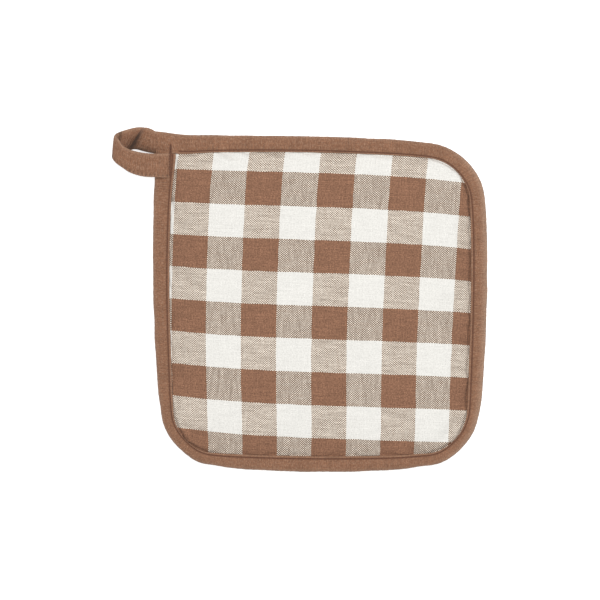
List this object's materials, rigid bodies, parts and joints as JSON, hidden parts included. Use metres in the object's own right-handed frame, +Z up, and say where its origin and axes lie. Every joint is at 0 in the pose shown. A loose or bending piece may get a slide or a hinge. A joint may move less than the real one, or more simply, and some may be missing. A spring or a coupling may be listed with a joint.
{
  "type": "square pot holder with hanging loop",
  "caption": "Square padded gingham pot holder with rounded corners, a bound edge and a folded tape loop at one corner for hanging it up.",
  "frame": {"origin": "on the resting plane, under the middle of the padded square", "axes": "+X to the right and +Y to the top of the square as it is seen from above, with the loop at -X +Y; +Z up, out of its face"},
  "size_m": [0.2253, 0.207, 0.0165],
  "materials": {
    "gingham_cloth": "matt plain-woven cotton in brown and white checks",
    "binding_cloth": "matt plain-woven brown cotton tape"
  },
  "bodies": {
    "root": {"pad": "gingham_cloth", "edge_binding": "binding_cloth", "hanging_loop": "binding_cloth"}
  },
  "joints": []
}
